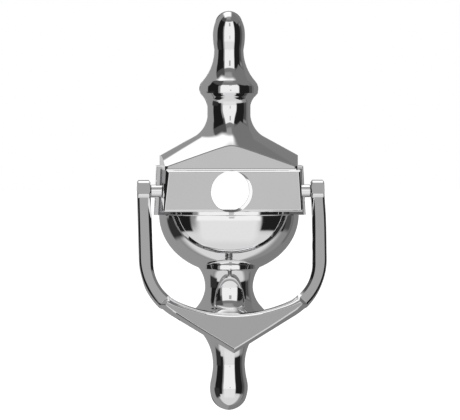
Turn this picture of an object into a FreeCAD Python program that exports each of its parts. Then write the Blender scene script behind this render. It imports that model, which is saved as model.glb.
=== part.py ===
import FreeCAD, Part
import Sketcher
import math
import os

# Urn door knocker: a hollow cast plate, and a bail with a hammer that swings on two pins.
# +Z is up, -Y points out of the door, and X runs along the pivot pins.
# The origin lies on the door face, on the axis of the hole for a door viewer.

doc = FreeCAD.newDocument("door_knocker")
V = FreeCAD.Vector
SIDES = {"right": 1, "left": -1}

# ---------------------------------------------------------------- driving sizes, mm and degrees

SIZES = {
    # seal between plate and door
    "gasket_thick": 1.0,
    "gasket_hole_rad": 3.7,
    # upper finial, collar and neck: radius and height at each change of curve
    "tip_high": 87.4,
    "dome_rad": 6.5,
    "dome_high": 82.4,
    "belly_rad": 7.8,
    "belly_high": 76.0,
    "belly_arc": 20.0,
    "waist_rad": 7.1,
    "waist_high": 68.5,
    "waist_arc": 40.0,
    "flare_arc": 23.0,
    "bead_top_rad": 13.2,
    "bead_top": 52.9,
    "bead_arc": 5.2,
    "bead_low_rad": 13.4,
    "bead_low": 46.5,
    "cove_arc": 9.0,
    "neck_rad": 10.5,
    "neck_top": 41.0,
    "neck_low": 36.0,
    "neck_foot_rad": 11.5,
    "neck_foot": 31.5,
    "neck_foot_arc": 14.0,
    "neck_root": 24.0,
    # pediment: outline on the door side, and its flat triangular front
    "shoulder_half": 33.8,
    "shoulder_top": 17.0,
    "eave_half": 20.5,
    "eave_high": 24.4,
    "eave_arc": 12.0,
    "roof_root": 6.0,
    "facet_half": 30.6,
    "facet_side": 12.2,
    "facet_mid_half": 16.0,
    "facet_mid": 17.3,
    "facet_crown_half": 3.0,
    "facet_crown": 21.9,
    "facet_depth": 20.0,
    # wing of the band, then the block that stands on it
    "wing_top_half": 35.6,
    "wing_low_half": 36.9,
    "wing_top": 12.2,
    "wing_low": 11.8,
    "wing_depth": 9.0,
    "block_root_depth": 8.0,
    "block_root_top_half": 34.4,
    "block_root_low_half": 35.5,
    "block_root_top": 11.4,
    "block_root_low": 10.9,
    "block_edge_depth": 21.7,
    "block_edge_top_half": 33.8,
    "block_edge_low_half": 34.9,
    "block_edge_top": 10.4,
    "block_edge_low": 9.8,
    "block_depth": 23.0,
    "block_face_top_half": 31.8,
    "block_face_low_half": 32.9,
    "block_face_top": 9.0,
    "block_face_low": 8.5,
    # bowl: half of an ellipsoid
    "bowl_half": 34.2,
    "bowl_depth": 21.5,
    "bowl_drop": 28.6,
    "bowl_centre": -12.0,
    "bowl_lip_angle": 5.0,
    # stem, foot and lower finial: radius, and distance below the origin
    "stem_root": 33.0,
    "stem_root_rad": 12.5,
    "stem_top_rad": 15.1,
    "stem_top": 37.1,
    "stem_top_arc": 17.3,
    "stem_rad": 11.7,
    "stem_waist": 47.4,
    "stem_low_arc": 15.6,
    "foot_top_rad": 17.0,
    "foot_top": 59.1,
    "foot_arc": 4.6,
    "foot_low_rad": 16.0,
    "foot_low": 67.0,
    "drop_arc": 25.0,
    "drop_waist_rad": 7.8,
    "drop_waist": 85.5,
    "drop_cove_arc": 45.0,
    "drop_belly_rad": 9.3,
    "drop_belly": 96.2,
    "drop_belly_arc": 15.0,
    "drop_dome_rad": 7.9,
    "drop_dome": 103.1,
    "drop_tip": 107.7,
    # hollows in the back of the casting
    "band_hollow_top_half": 31.0,
    "band_hollow_low_half": 31.9,
    "band_hollow_top": 8.2,
    "band_hollow_low": 7.9,
    "band_hollow_depth": 20.0,
    "bowl_hollow_half": 31.2,
    "bowl_hollow_depth": 18.6,
    "bowl_hollow_drop": 25.4,
    "bowl_hollow_lip_angle": 0.0,
    "roof_hollow_half": 29.6,
    "roof_hollow_low": 13.4,
    "roof_hollow_side": 15.0,
    "roof_hollow_mid_half": 17.0,
    "roof_hollow_mid": 19.6,
    "roof_hollow_top_half": 7.0,
    "roof_hollow_top": 24.6,
    "roof_hollow_depth": 7.0,
    "neck_hollow_rad": 7.6,
    "neck_hollow_top": 40.5,
    "neck_hollow_low": 26.0,
    "stem_hollow_top": 39.0,
    "stem_hollow_rad": 8.8,
    "stem_hollow_waist": 53.0,
    "foot_hollow_rad": 14.6,
    "foot_hollow_top": 59.5,
    "foot_hollow_low": 65.5,
    # hole for a door viewer, and the collar round it
    "spyhole_rad": 10.0,
    "collar_rad": 11.6,
    "collar_depth": 20.0,
    # pivot pins, the bosses round them and the grub screws that hold them
    "pivot_depth": 14.0,
    "pin_axis_inside": 13.0,
    "pin_rad": 2.0,
    "pin_start": 22.0,
    "pin_length": 23.0,
    "pin_chamfer": 0.4,
    "pin_hole_length": 18.0,
    "side_boss_rad": 3.1,
    "side_boss_start": 32.0,
    "side_boss_length": 6.7,
    "pillar_in": 20.0,
    "pillar_out": 33.0,
    "pillar_half": 5.0,
    "pillar_back": 5.0,
    "pillar_length": 16.0,
    "grub_place": 27.0,
    "grub_hole_length": 8.0,
    "grub_rad": 1.65,
    "grub_length": 4.8,
    "grub_chamfer": 0.3,
    "grub_socket_rad": 1.15,
    "grub_socket_deep": 2.2,
    # studs that pass through the door
    "stud_high": 49.0,
    "stud_low": 63.0,
    "stud_root_rad": 2.1,
    "stud_root_length": 10.0,
    "stud_rad": 2.5,
    "stud_length": 58.0,
    "stud_point": 1.0,
    "stud_boss_rad": 5.2,
    "stud_boss_depth": 16.0,
    # button on the foot that the hammer strikes
    "strike_low": 64.2,
    "strike_shank_rad": 2.2,
    "strike_shank_length": 3.5,
    "strike_seat_depth": 15.2,
    "strike_head_rad": 3.8,
    "strike_head_high": 7.6,
    "strike_flat_deep": 7.8,
    "strike_round": 1.0,
    # bail: everything about it is drawn flat, then leaned forward about the pivot
    "lean": 18.5,
    "arm_in": 39.0,
    "arm_out": 45.2,
    "arm_wide": 6.2,
    "arm_half": 3.4,
    "arm_long": 12.0,
    "arm_edge": 1.3,
    "bend_in_start": 36.5,
    "bend_in": 22.5,
    "hammer_top": 61.3,
    "bend_out_start": 34.0,
    "bend_out": 34.0,
    "hammer_tip": 80.6,
    "hammer_thick": 8.6,
    "relief_in": 27.2,
    "relief_in_low": 49.3,
    "relief_out": 47.0,
    "relief_out_low": 70.0,
    "arm_relief_deep": 3.0,
    "hammer_edge": 1.7,
    "eye_rad": 5.4,
    "bush_rad": 3.0,
    "bush_bore": 2.05,
    "bush_length": 6.0,
    "knuckle_rad": 4.2,
    "knuckle_length": 10.0,
    "strike_gap": 0.3,
}

sheet = doc.addObject("Spreadsheet::Sheet", "sizes")
for row, (alias, value) in enumerate(SIZES.items(), start=1):
    sheet.set(f"A{row}", alias)
    sheet.set(f"B{row}", str(value))
    sheet.setAlias(f"B{row}", alias)
doc.recompute()


def size(cell):
    """The number in a cell of the sheet. A minus sign before the name turns it round."""
    if cell == 0:
        return 0.0
    sign = -1 if cell.startswith("-") else 1
    return sign * float(sheet.get(cell.lstrip("-")))


# ---------------------------------------------------------------- drawing and feature helpers


def plane(body, role):
    return next(p for p in body.Origin.OriginFeatures if p.Role == role)


def new_body(label):
    body = doc.addObject("PartDesign::Body", label)
    body.Label = label
    return body


def new_sketch(body, name, role="XZ_Plane", offset=0):
    """A sketch on a plane of the body's origin, moved along the plane's normal by a cell."""
    sketch = body.newObject("Sketcher::SketchObject", name)
    sketch.AttachmentSupport = [(plane(body, role), "")]
    sketch.MapMode = "FlatFace"
    if offset:
        sketch.setExpression("AttachmentOffset.Base.z", bound(offset))
    return sketch


def bound(cell):
    return f"-sizes.{cell[1:]}" if cell.startswith("-") else f"sizes.{cell}"


def hold(sketch, kind, where, cell):
    """A dimension that follows a cell of the sheet."""
    index = sketch.addConstraint(Sketcher.Constraint(kind, *where, abs(size(cell))))
    name = f"size{index}"
    sketch.renameConstraint(index, name)
    sketch.setExpression(f"Constraints.{name}", "sizes." + cell.lstrip("-"))


def hold_point(sketch, geo, end, x, y):
    """Hold one end of an edge at the place that two cells give."""
    for kind, cell, axis in (("DistanceX", x, -2), ("DistanceY", y, -1)):
        if cell == 0:
            sketch.addConstraint(Sketcher.Constraint("PointOnObject", geo, end, axis))
        elif cell.startswith("-"):
            hold(sketch, kind, (geo, end, -1, 1), cell)
        else:
            hold(sketch, kind, (-1, 1, geo, end), cell)


def arc_between(start, end, radius, side):
    """The shorter arc of a radius, bulging to the left (side 1) or right (side -1) of its way."""
    chord = end - start
    half = chord.Length / 2
    rise = radius - math.sqrt(radius**2 - half**2)
    left = V(-chord.y, chord.x, 0).normalize()
    return Part.Arc(start, (start + end) / 2 + left * (rise * side), end)


# In place of an arc's radius: the arc meets the upright axis squarely, so its centre is on it.
ON_AXIS = "on_axis"


def dome_radius(start, end):
    rise = abs(end.y - start.y)
    reach = max(start.x, end.x)
    return (reach**2 + rise**2) / (2 * rise)


def draw(sketch, corners):
    """A closed outline. A corner is (x, y), or (x, y, radius, side) if an arc leaves it."""
    ends = []
    for here, after in zip(corners, corners[1:] + corners[:1]):
        start = V(size(here[0]), size(here[1]), 0)
        end = V(size(after[0]), size(after[1]), 0)
        if len(here) == 2:
            geo = sketch.addGeometry(Part.LineSegment(start, end))
            ends.append((geo, 1, 2))
            continue
        radius = dome_radius(start, end) if here[2] == ON_AXIS else size(here[2])
        geo = sketch.addGeometry(arc_between(start, end, radius, here[3]))
        forward = sketch.getPoint(geo, 1).distanceToPoint(start) < 1e-6
        ends.append((geo, 1, 2) if forward else (geo, 2, 1))
    for i, (geo, first, last) in enumerate(ends):
        after, after_first, _ = ends[(i + 1) % len(ends)]
        sketch.addConstraint(Sketcher.Constraint("Coincident", geo, last, after, after_first))
        hold_point(sketch, geo, first, corners[i][0], corners[i][1])
        if len(corners[i]) == 4 and corners[i][2] == ON_AXIS:
            sketch.addConstraint(Sketcher.Constraint("PointOnObject", geo, 3, -2))
        elif len(corners[i]) == 4:
            hold(sketch, "Radius", (geo,), corners[i][2])


def mirrored(corners):
    """Corners of one side, then the same ones on the other side of x = 0 in reverse."""
    other = [("-" + x, y) for x, y in reversed(corners)]
    return corners + other


def draw_circle(sketch, x, y, radius):
    circle = Part.Circle(V(size(x), size(y), 0), V(0, 0, 1), size(radius))
    geo = sketch.addGeometry(circle)
    hold_point(sketch, geo, 3, x, y)
    hold(sketch, "Radius", (geo,), radius)


def feature(body, kind, name, profile, **settings):
    """A sketch-based feature. Settings that name a cell follow that cell."""
    made = body.newObject("PartDesign::" + kind, name)
    made.Profile = profile
    for key, value in settings.items():
        if isinstance(value, str) and value in SIZES:
            made.setExpression(key, "sizes." + value)
        else:
            setattr(made, key, value)
    doc.recompute()
    return made


def turn(body, kind, name, profile, angle=180.0):
    """A revolution or groove about the body's own vertical axis, through the front."""
    made = body.newObject("PartDesign::" + kind, name)
    made.Profile = profile
    made.ReferenceAxis = (profile, ["V_Axis"])
    made.Angle = angle
    made.Reversed = True
    doc.recompute()
    return made


def loft(body, kind, name, sections):
    made = body.newObject("PartDesign::" + kind, name)
    made.Profile = sections[0]
    made.Sections = sections[1:]
    made.Ruled = True
    doc.recompute()
    return made


def along(direction):
    """The rotation that turns a cylinder's own axis, +Z, to a direction."""
    return FreeCAD.Rotation(V(0, 0, 1), direction)


def edges_where(shape, test):
    return [f"Edge{i}" for i, edge in enumerate(shape.Edges, start=1) if test(edge)]


def chamfer(body, name, base, test, cell):
    made = body.newObject("PartDesign::Chamfer", name)
    made.Base = (base, edges_where(base.Shape, test))
    made.setExpression("Size", "sizes." + cell)
    doc.recompute()
    return made


def place(made, x="", y="", z=""):
    """Bind a body's own place to expressions on the sheet."""
    for axis, text in (("x", x), ("y", y), ("z", z)):
        if text:
            made.setExpression(f"Placement.Base.{axis}", text)


# ---------------------------------------------------------------- plate

UPPER = [
    (0, "tip_high", ON_AXIS, 1),
    ("dome_rad", "dome_high", "belly_arc", 1),
    ("belly_rad", "belly_high", "waist_arc", 1),
    ("waist_rad", "waist_high", "flare_arc", -1),
    ("bead_top_rad", "bead_top", "bead_arc", 1),
    ("bead_low_rad", "bead_low", "cove_arc", -1),
    ("neck_rad", "neck_top"),
    ("neck_rad", "neck_low", "neck_foot_arc", -1),
    ("neck_foot_rad", "neck_foot"),
    ("neck_foot_rad", "neck_root"),
    (0, "neck_root"),
]

LOWER = [
    (0, "-stem_root"),
    ("stem_root_rad", "-stem_root"),
    ("stem_top_rad", "-stem_top", "stem_top_arc", -1),
    ("stem_rad", "-stem_waist", "stem_low_arc", -1),
    ("foot_top_rad", "-foot_top", "foot_arc", 1),
    ("foot_low_rad", "-foot_low", "drop_arc", -1),
    ("drop_waist_rad", "-drop_waist", "drop_cove_arc", -1),
    ("drop_belly_rad", "-drop_belly", "drop_belly_arc", 1),
    ("drop_dome_rad", "-drop_dome", ON_AXIS, 1),
    (0, "-drop_tip"),
]


ROOF = [
    ("neck_foot_rad", "neck_foot", "eave_arc", -1),
    ("eave_half", "eave_high"),
    ("shoulder_half", "shoulder_top"),
    ("shoulder_half", "roof_root"),
    ("-shoulder_half", "roof_root"),
    ("-shoulder_half", "shoulder_top"),
    ("-eave_half", "eave_high", "eave_arc", -1),
    ("-neck_foot_rad", "neck_foot"),
]

FACET = [
    ("facet_crown_half", "facet_crown"),
    ("facet_mid_half", "facet_mid"),
    ("facet_half", "facet_side"),
    ("facet_half", "roof_root"),
]

ROOF_HOLLOW = [
    ("roof_hollow_top_half", "roof_hollow_top"),
    ("roof_hollow_mid_half", "roof_hollow_mid"),
    ("roof_hollow_half", "roof_hollow_side"),
    ("roof_hollow_half", "roof_hollow_low"),
]

NECK_HOLLOW = [
    (0, "neck_hollow_top"),
    ("neck_hollow_rad", "neck_hollow_top"),
    ("neck_hollow_rad", "neck_hollow_low"),
    (0, "neck_hollow_low"),
]

STEM_HOLLOW = [
    (0, "-stem_hollow_top"),
    ("stem_hollow_rad", "-stem_hollow_top"),
    ("stem_hollow_rad", "-stem_hollow_waist"),
    ("foot_hollow_rad", "-foot_hollow_top"),
    ("foot_hollow_rad", "-foot_hollow_low"),
    (0, "-foot_hollow_low"),
]


ARM_RELIEF = [
    ("relief_in", "-relief_in_low"),
    ("relief_out", "-relief_out_low"),
    ("relief_out", "eye_rad"),
    ("relief_in", "eye_rad"),
]


def trapezium(name, body, prefix, offset):
    sketch = new_sketch(body, name, offset=offset)
    right = [(f"{prefix}_top_half", f"{prefix}_top"), (f"{prefix}_low_half", f"-{prefix}_low")]
    draw(sketch, mirrored(right))
    return sketch


def ellipsoid(body, kind, prefix, name):
    """The lower front quarter of an ellipsoid, with a narrow lip above its middle."""
    made = body.newObject("PartDesign::" + kind, name)
    made.setExpression("Radius1", f"sizes.{prefix}_drop")
    made.setExpression("Radius2", f"sizes.{prefix}_half")
    made.setExpression("Radius3", f"sizes.{prefix}_depth")
    made.Angle1 = -90
    made.setExpression("Angle2", f"sizes.{prefix}_lip_angle")
    made.Angle3 = 180
    made.Placement = FreeCAD.Placement(V(0, 0, 0), FreeCAD.Rotation(V(0, 0, 1), 180))
    made.setExpression("Placement.Base.z", "sizes.bowl_centre")
    doc.recompute()
    return made


def outside(body):
    """The outer form of the plate."""
    wing = trapezium("wing_outline", body, "wing", 0)
    feature(body, "Pad", "wing", wing, Length="wing_depth")

    root = trapezium("block_root_outline", body, "block_root", "block_root_depth")
    edge = trapezium("block_edge_outline", body, "block_edge", "block_edge_depth")
    face = trapezium("block_face_outline", body, "block_face", "block_depth")
    loft(body, "AdditiveLoft", "block", [root, edge, face])

    roof = new_sketch(body, "roof_outline")
    draw(roof, ROOF)
    facet = new_sketch(body, "facet_outline", offset="facet_depth")
    draw(facet, mirrored(FACET))
    loft(body, "AdditiveLoft", "pediment", [roof, facet])

    upper = new_sketch(body, "upper_outline")
    draw(upper, UPPER)
    turn(body, "Revolution", "upper_spindle", upper)
    ellipsoid(body, "AdditiveEllipsoid", "bowl", "bowl")
    lower = new_sketch(body, "lower_outline")
    draw(lower, LOWER)
    turn(body, "Revolution", "lower_spindle", lower)


def hollows(body):
    """The hollows that leave the casting a few millimetres thick, open at the door."""
    band = trapezium("band_hollow_outline", body, "band_hollow", 0)
    feature(body, "Pocket", "band_hollow", band, Length="band_hollow_depth", Reversed=True)
    ellipsoid(body, "SubtractiveEllipsoid", "bowl_hollow", "bowl_hollow")

    roof = new_sketch(body, "roof_hollow_outline")
    draw(roof, mirrored(ROOF_HOLLOW))
    feature(body, "Pocket", "roof_hollow", roof, Length="roof_hollow_depth", Reversed=True)
    neck = new_sketch(body, "neck_hollow_outline")
    draw(neck, NECK_HOLLOW)
    turn(body, "Groove", "neck_hollow", neck)
    stem = new_sketch(body, "stem_hollow_outline")
    draw(stem, STEM_HOLLOW)
    turn(body, "Groove", "stem_hollow", stem)


def bosses(body):
    """The solid places inside the casting that the pins, studs and door viewer need."""
    pillars = new_sketch(body, "pillar_outline", offset="pillar_back")
    draw(pillars, box_corners("pillar_in", "pillar_out", "pillar_half"))
    draw(pillars, box_corners("-pillar_out", "-pillar_in", "pillar_half"))
    feature(body, "Pad", "pin_pillars", pillars, Length="pillar_length")
    boss = new_sketch(body, "stud_boss_outline")
    draw_circle(boss, 0, "-stud_low", "stud_boss_rad")
    feature(body, "Pad", "stud_boss", boss, Length="stud_boss_depth")
    collar = new_sketch(body, "collar_outline")
    draw_circle(collar, 0, 0, "collar_rad")
    feature(body, "Pad", "collar", collar, Length="collar_depth")


def sideways(body, kind, name, start, radius, length):
    """A round boss or hole on the line of the pins, out from x = start on both sides."""
    for side_name, side in SIDES.items():
        offset = start if side > 0 else "-" + start
        circle = new_sketch(body, f"{name}_outline_{side_name}", role="YZ_Plane", offset=offset)
        draw_circle(circle, "-pin_axis_inside", 0, radius)
        away = (side < 0) == (kind == "Pad")
        feature(body, kind, f"{name}_{side_name}", circle, Length=length, Reversed=away)


def seats(body):
    """The holes for the door viewer, pins, screws, studs and striking button."""
    viewer = new_sketch(body, "spyhole_outline")
    draw_circle(viewer, 0, 0, "spyhole_rad")
    feature(body, "Pocket", "spyhole", viewer, Type="ThroughAll", Reversed=True)
    sideways(body, "Pad", "side_boss", "side_boss_start", "side_boss_rad", "side_boss_length")
    sideways(body, "Pocket", "pin_hole", "pin_start", "pin_rad", "pin_hole_length")
    studs = new_sketch(body, "stud_hole_outline")
    draw_circle(studs, 0, "stud_high", "stud_root_rad")
    draw_circle(studs, 0, "-stud_low", "stud_root_rad")
    feature(body, "Pocket", "stud_holes", studs, Length="stud_root_length", Reversed=True)
    grubs = new_sketch(body, "grub_hole_outline", offset="pillar_back")
    draw_circle(grubs, "grub_place", 0, "grub_rad")
    draw_circle(grubs, "-grub_place", 0, "grub_rad")
    feature(body, "Pocket", "grub_holes", grubs, Length="grub_hole_length", Reversed=True)
    button = new_sketch(body, "strike_seat_outline", offset="block_depth")
    draw_circle(button, 0, "-strike_low", "strike_head_rad")
    feature(body, "Pocket", "strike_flat", button, Length="strike_flat_deep")
    shank = new_sketch(body, "strike_hole_outline", offset="strike_seat_depth")
    draw_circle(shank, 0, "-strike_low", "strike_shank_rad")
    feature(body, "Pocket", "strike_hole", shank, Length="strike_shank_length")


def box_corners(left, right, half):
    return [(left, half), (right, half), (right, "-" + half), (left, "-" + half)]


def make_plate():
    body = new_body("backplate")
    place(body, y="-sizes.gasket_thick")
    outside(body)
    hollows(body)
    bosses(body)
    seats(body)
    return body


# ---------------------------------------------------------------- small turned pieces


def lathe(label, corners):
    """A piece turned about its own upright axis."""
    body = new_body(label)
    sketch = new_sketch(body, label + "_outline")
    draw(sketch, corners)
    turn(body, "Revolution", label + "_turned", sketch, angle=360.0)
    return body


def is_circle(edge):
    return edge.Curve.TypeId == "Part::GeomCircle"


def above(height):
    """A test for the edges that lie no lower than a height."""
    return lambda edge: edge.BoundBox.ZMin > height - 1e-6


def signed(side, expression):
    return expression if side > 0 else "-" + expression


def point_along(body, direction):
    body.Placement = FreeCAD.Placement(V(0, 0, 0), along(direction))


def make_pin(name, side):
    """A plain pin, driven in through the eye of the bail from outside."""
    outline = [(0, 0), ("pin_rad", 0), ("pin_rad", "pin_length"), (0, "pin_length")]
    pin = lathe("pivot_pin_" + name, outline)
    chamfer(pin, "pin_bevel_" + name, pin.Tip, is_circle, "pin_chamfer")
    point_along(pin, V(side, 0, 0))
    place(pin, x=signed(side, "sizes.pin_start"), y="-sizes.pivot_depth")
    return pin


def make_bush(name, side):
    wall = [("bush_bore", 0), ("bush_rad", 0), ("bush_rad", "bush_length"), ("bush_bore", "bush_length")]
    bush = lathe("pivot_bush_" + name, wall)
    point_along(bush, V(side, 0, 0))
    start = "(sizes.arm_in + (sizes.arm_wide - sizes.bush_length) / 2)"
    place(bush, x=signed(side, start), y="-sizes.pivot_depth")
    return bush


def make_grub(name, side):
    """A socket-headed grub screw that bears on the pin."""
    outline = [(0, 0), ("grub_rad", 0), ("grub_rad", "grub_length"), (0, "grub_length")]
    grub = lathe("pin_grub_screw_" + name, outline)
    top = size("grub_length")
    chamfer(grub, "grub_bevel_" + name, grub.Tip, above(top), "grub_chamfer")
    socket = new_sketch(grub, "grub_socket_outline_" + name, role="XY_Plane", offset="grub_length")
    corner = [V(math.cos(k * math.pi / 3), math.sin(k * math.pi / 3), 0) for k in range(6)]
    wide = size("grub_socket_rad")
    guide = socket.addGeometry(Part.Circle(V(0, 0, 0), V(0, 0, 1), wide), True)
    hold_point(socket, guide, 3, 0, 0)
    hold(socket, "Radius", (guide,), "grub_socket_rad")
    for k in range(6):
        socket.addGeometry(Part.LineSegment(corner[k] * wide, corner[(k + 1) % 6] * wide))
    sides = range(guide + 1, guide + 7)
    for k in sides:
        after = k + 1 if k < guide + 6 else guide + 1
        socket.addConstraint(Sketcher.Constraint("Coincident", k, 2, after, 1))
        socket.addConstraint(Sketcher.Constraint("PointOnObject", k, 1, guide))
        if k != guide + 1:
            socket.addConstraint(Sketcher.Constraint("Equal", guide + 1, k))
    socket.addConstraint(Sketcher.Constraint("PointOnObject", guide + 1, 1, -1))
    feature(grub, "Pocket", "grub_socket_" + name, socket, Length="grub_socket_deep")
    point_along(grub, V(0, 1, 0))
    place(grub, x=signed(side, "sizes.grub_place"), y="-sizes.pivot_depth + sizes.pin_rad")
    return grub


def make_stud(name, height):
    """A stud with its root screwed into the plate and its free end through the door."""
    outline = [
        (0, "-stud_root_length"),
        ("stud_root_rad", "-stud_root_length"),
        ("stud_root_rad", 0),
        ("stud_rad", 0),
        ("stud_rad", "stud_length"),
        (0, "stud_length"),
    ]
    stud = lathe("fixing_stud_" + name, outline)
    chamfer(stud, "stud_point_" + name, stud.Tip, above(size("stud_length")), "stud_point")
    point_along(stud, V(0, 1, 0))
    place(stud, y="-sizes.gasket_thick", z=height)
    return stud


def make_button():
    """The button that takes the hammer's blow, pressed into the front of the foot."""
    outline = [
        (0, "-strike_shank_length"),
        ("strike_shank_rad", "-strike_shank_length"),
        ("strike_shank_rad", 0),
        ("strike_head_rad", 0),
        ("strike_head_rad", "strike_head_high"),
        (0, "strike_head_high"),
    ]
    button = lathe("strike_button", outline)
    chamfer(button, "strike_edge", button.Tip, above(size("strike_head_high")), "strike_round")
    point_along(button, V(0, -1, 0))
    place(button, y="-sizes.gasket_thick - sizes.strike_seat_depth", z="-sizes.strike_low")
    return button


# ---------------------------------------------------------------- bail and hammer


def bail_joins():
    """Where the bends of the outline run smoothly into the hammer's arch and its lower edge."""
    inner_centre = V(size("arm_in") - size("bend_in"), -size("bend_in_start"), 0)
    drop = size("hammer_top") - size("bend_in_start")
    bend = size("bend_in")
    arch = (inner_centre.x**2 + drop**2 - bend**2) / (2 * (drop - bend))
    arch_centre = V(0, arch - size("hammer_top"), 0)
    inner = arch_centre + (inner_centre - arch_centre).normalize() * arch

    outer_centre = V(size("arm_out") - size("bend_out"), -size("bend_out_start"), 0)
    tip = V(0, -size("hammer_tip"), 0)
    reach = outer_centre - tip
    lean_in = math.asin(size("bend_out") / reach.Length)
    way = math.atan2(reach.y, reach.x) - lean_in
    run = math.sqrt(reach.Length**2 - size("bend_out") ** 2)
    outer = tip + V(math.cos(way), math.sin(way), 0) * run
    return inner, inner_centre, arch, outer, outer_centre, tip


def bail_outline(body):
    """The right-hand half of the loop, with every join held tangent."""
    sketch = new_sketch(body, "bail_outline", offset="-arm_half")
    inner, inner_centre, arch, outer, outer_centre, tip = bail_joins()
    arm_in, arm_out = size("arm_in"), size("arm_out")
    bend_in, bend_out = size("bend_in"), size("bend_out")
    top_in, top_out = V(arm_in, 0, 0), V(arm_out, 0, 0)
    start_in, start_out = V(arm_in, inner_centre.y, 0), V(arm_out, outer_centre.y, 0)
    crown = V(0, -size("hammer_top"), 0)
    across = sketch.addGeometry(Part.LineSegment(top_in, top_out))
    outer_side = sketch.addGeometry(Part.LineSegment(top_out, start_out))
    outer_bend = sketch.addGeometry(arc_between(start_out, outer, bend_out, 1))
    lower_edge = sketch.addGeometry(Part.LineSegment(outer, tip))
    middle = sketch.addGeometry(Part.LineSegment(tip, crown))
    crown_arc = sketch.addGeometry(arc_between(crown, inner, arch, -1))
    inner_bend = sketch.addGeometry(arc_between(inner, start_in, bend_in, -1))
    inner_side = sketch.addGeometry(Part.LineSegment(start_in, top_in))

    def end_at(geo, point):
        return 1 if sketch.getPoint(geo, 1).distanceToPoint(point) < 1e-4 else 2

    def join(first, second, point, kind="Coincident"):
        ends = (first, end_at(first, point), second, end_at(second, point))
        sketch.addConstraint(Sketcher.Constraint(kind, *ends))

    join(across, outer_side, top_out)
    join(outer_side, outer_bend, start_out, "Tangent")
    join(outer_bend, lower_edge, outer, "Tangent")
    join(lower_edge, middle, tip)
    join(middle, crown_arc, crown)
    join(crown_arc, inner_bend, inner, "Tangent")
    join(inner_bend, inner_side, start_in, "Tangent")
    join(inner_side, across, top_in)
    hold_point(sketch, across, 1, "arm_in", 0)
    hold_point(sketch, across, 2, "arm_out", 0)
    hold_point(sketch, outer_side, 2, "arm_out", "-bend_out_start")
    hold_point(sketch, inner_side, 1, "arm_in", "-bend_in_start")
    hold_point(sketch, middle, 1, 0, "-hammer_tip")
    hold_point(sketch, middle, 2, 0, "-hammer_top")
    hold(sketch, "Radius", (outer_bend,), "bend_out")
    hold(sketch, "Radius", (inner_bend,), "bend_in")
    sketch.addConstraint(Sketcher.Constraint("PointOnObject", crown_arc, 3, -2))
    return sketch


def knuckle_place():
    """The knuckle's middle line: level with the button, and square to the door at rest."""
    lean = FreeCAD.Rotation(V(1, 0, 0), size("lean"))
    button_face = size("gasket_thick") + size("strike_seat_depth") + size("strike_head_high")
    reach = size("pivot_depth") - button_face - size("strike_gap")
    end = lean.multVec(V(0, reach, -size("strike_low")))
    way = lean.multVec(V(0, 1, 0))
    return FreeCAD.Placement(end - way * size("knuckle_length"), along(way))


def make_bail():
    """Drawn flat with the arms hanging down -Z, then leaned forward about the pivot."""
    body = new_body("knocker_bail")
    loop = feature(body, "Pad", "bail_half", bail_outline(body), Length="hammer_thick")
    relief = new_sketch(body, "arm_relief_outline", offset="arm_half")
    draw(relief, ARM_RELIEF)
    arm = feature(body, "Pocket", "arm_relief", relief, Length="arm_relief_deep", Reversed=True)
    eye_sketch = new_sketch(body, "eye_outline", role="YZ_Plane", offset="arm_in")
    draw_circle(eye_sketch, 0, 0, "eye_rad")
    eye = feature(body, "Pad", "eye", eye_sketch, Length="arm_wide")
    hole_sketch = new_sketch(body, "bush_hole_outline", role="YZ_Plane", offset="arm_in")
    draw_circle(hole_sketch, 0, 0, "bush_rad")
    hole = feature(body, "Pocket", "bush_hole", hole_sketch, Length="arm_wide", Reversed=True)
    mirror = body.newObject("PartDesign::Mirrored", "both_sides")
    mirror.Originals = [loop, arm, eye, hole]
    mirror.MirrorPlane = (plane(body, "YZ_Plane"), [""])
    body.Tip = mirror
    doc.recompute()
    knuckle = body.newObject("PartDesign::AdditiveCylinder", "knuckle")
    knuckle.setExpression("Radius", "sizes.knuckle_rad")
    knuckle.setExpression("Height", "sizes.knuckle_length")
    knuckle.Placement = knuckle_place()
    doc.recompute()

    face = -(size("hammer_thick") - size("arm_half"))
    on_face = chamfer(body, "hammer_bevel", knuckle, lambda e: lies_at(e, face), "hammer_edge")
    front = -size("arm_half")
    long_edges = lambda e: lies_at(e, front) and e.Length > size("arm_long")
    chamfer(body, "arm_bevel", on_face, long_edges, "arm_edge")
    body.Placement = FreeCAD.Placement(V(0, 0, 0), FreeCAD.Rotation(V(1, 0, 0), -size("lean")))
    place(body, y="-sizes.pivot_depth")
    return body


def lies_at(edge, depth):
    """Whether an edge lies in the plane y = depth."""
    box = edge.BoundBox
    return abs(box.YMin - depth) < 1e-4 and abs(box.YMax - depth) < 1e-4


# ---------------------------------------------------------------- seal


def make_gasket(plate):
    """A sheet of foam cut to the rim of the plate's back, with clear holes for the studs."""
    thick = size("gasket_thick")
    box = plate.Shape.BoundBox
    corner = V(box.XMin, -2 * thick, box.ZMin)
    slab = Part.makeBox(box.XLength, thick, box.ZLength, corner)
    sheet_of_foam = plate.Shape.common(slab)
    sheet_of_foam.translate(V(0, thick, 0))
    for height in (size("stud_high"), -size("stud_low")):
        hole = Part.makeCylinder(size("gasket_hole_rad"), thick, V(0, -thick, height), V(0, 1, 0))
        sheet_of_foam = sheet_of_foam.cut(hole)
    gasket = doc.addObject("Part::Feature", "back_gasket")
    gasket.Label = "back_gasket"
    gasket.Shape = sheet_of_foam.Solids[0]
    return gasket


# ---------------------------------------------------------------- the whole knocker

plate = make_plate()
bail = make_bail()
pieces = [plate, make_gasket(plate), bail, make_button()]
pieces += [make_stud("upper", "sizes.stud_high"), make_stud("lower", "-sizes.stud_low")]
for side_name, side in SIDES.items():
    pieces += [make_pin(side_name, side), make_bush(side_name, side), make_grub(side_name, side)]
doc.recompute()

for made in doc.Objects:
    failed = [state for state in made.State if state in ("Invalid", "Error")]
    if failed:
        raise RuntimeError(f"{made.Name} did not build: {failed}")

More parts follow.
